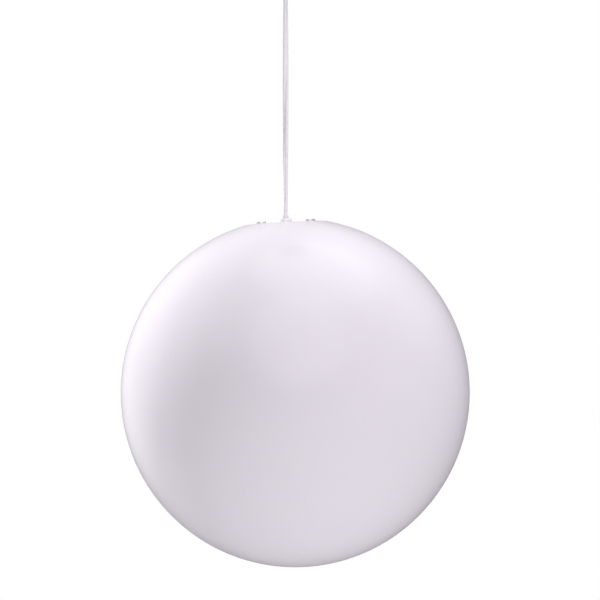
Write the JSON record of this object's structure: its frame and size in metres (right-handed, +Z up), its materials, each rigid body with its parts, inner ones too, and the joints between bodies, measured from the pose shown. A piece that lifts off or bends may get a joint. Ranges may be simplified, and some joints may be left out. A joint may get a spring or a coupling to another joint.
{
  "type": "hanging garden globe light",
  "caption": "White globe light that hangs by a flat flex from a ceiling canopy, with a screwed lid, cord gland, lamp holder and tubular bulb inside.",
  "frame": {"origin": "on the ceiling, at the middle of the two ceiling screw slots, on the line of the cord", "axes": "+Z up into the ceiling, +X to the right of the picture, +Y away from the camera; the globe hangs below and its axis leans 3.2 degrees towards -X at the top, as in the picture"},
  "size_m": [0.3499, 0.35, 0.6518],
  "materials": {
    "canopy_white": "smooth moulded, satin",
    "zinc_steel": "zinc plated",
    "nylon_white": "moulded nylon",
    "rubber_white": "soft moulded rubber",
    "rubber_grey": "soft rubber",
    "cord_white": "soft extruded sheath",
    "core_brown": "core insulation",
    "core_blue": "core insulation",
    "brass": "machined",
    "ceramic": "glazed ceramic",
    "stainless": "stainless, satin",
    "globe_white": "rotomoulded polyethylene, satin, translucent",
    "lid_white": "moulded polyethylene, satin",
    "holder_plastic": "heat resistant moulding",
    "bulb_white": "smooth moulding",
    "bulb_opal": "opal diffuser",
    "bulb_metal": "nickel plated",
    "board_white": "white lacquered board",
    "insulator_black": "moulded"
  },
  "bodies": {
    "ceiling_fitting": {"ceiling_bracket": "zinc_steel", "canopy_cover": "canopy_white", "canopy_screw_left": "zinc_steel", "canopy_screw_right": "zinc_steel", "swivel_retainer": "nylon_white", "cord_clamp_base": "nylon_white", "cord_clamp_saddle": "nylon_white", "cord_clamp_screws": "zinc_steel", "terminal_block": "ceramic", "terminal_tubes": "brass", "terminal_screws": "brass", "canopy_cord": "cord_white", "canopy_live_core": "core_brown", "canopy_neutral_core": "core_blue"},
    "sleeve": {"cord_sleeve": "rubber_white", "sleeve_cord": "cord_white"},
    "cord": {"hanging_cord": "cord_white"},
    "lamp_head": {"gland_body": "nylon_white", "gland_seal": "rubber_grey", "gland_washer": "rubber_grey", "gland_locknut": "nylon_white", "lid": "lid_white", "lid_gasket": "rubber_grey", "lamp_cord": "cord_white", "cord_stop": "brass", "cord_stop_screw": "zinc_steel", "holder_cap": "holder_plastic", "holder_body": "holder_plastic", "holder_insert": "ceramic", "holder_terminals": "brass", "holder_terminal_screws": "brass", "holder_live_core": "core_brown", "holder_neutral_core": "core_blue", "holder_screw_shell": "brass", "holder_contact": "brass"},
    "left_screw": {"lid_screw_left": "stainless", "lid_washer_left": "stainless"},
    "right_screw": {"lid_screw_right": "stainless", "lid_washer_right": "stainless"},
    "bulb": {"bulb_contact": "bulb_metal", "bulb_insulator": "insulator_black", "bulb_screw_shell": "bulb_metal", "bulb_housing": "bulb_white", "bulb_led_board": "board_white", "bulb_diffuser": "bulb_opal"},
    "globe": {"globe_shell": "globe_white", "clamp_plate_left": "zinc_steel", "clamp_plate_right": "zinc_steel", "clamp_nut_left": "zinc_steel", "clamp_nut_right": "zinc_steel"}
  },
  "joints": [
    {"name": "cord_swing_fore_aft", "type": "hinge", "parent": "ceiling_fitting", "child": "sleeve", "pos_m": [0, 0, -0.038], "axis": [1, 0, 0], "range_deg": [-20, 20]},
    {"name": "cord_swing_side", "type": "hinge", "parent": "sleeve", "child": "cord", "pos_m": [0, 0, -0.0733], "axis": [0, 1, 0], "range_deg": [-20, 20]},
    {"name": "globe_tilt", "type": "hinge", "parent": "cord", "child": "lamp_head", "pos_m": [0, 0, -0.301], "axis": [0, 1, 0], "range_deg": [-22, 28]},
    {"name": "left_screw_out", "type": "slide", "parent": "lamp_head", "child": "left_screw", "axis": [-0.0558, 0, 0.9984], "range_m": [0, 0.017]},
    {"name": "right_screw_out", "type": "slide", "parent": "lamp_head", "child": "right_screw", "axis": [-0.0558, 0, 0.9984], "range_m": [0, 0.017]},
    {"name": "bulb_out", "type": "slide", "parent": "lamp_head", "child": "bulb", "axis": [0.0558, 0, -0.9984], "range_m": [0, 0.03]},
    {"name": "globe_lower", "type": "slide", "parent": "lamp_head", "child": "globe", "axis": [0.0558, 0, -0.9984], "range_m": [0, 0.21]}
  ]
}
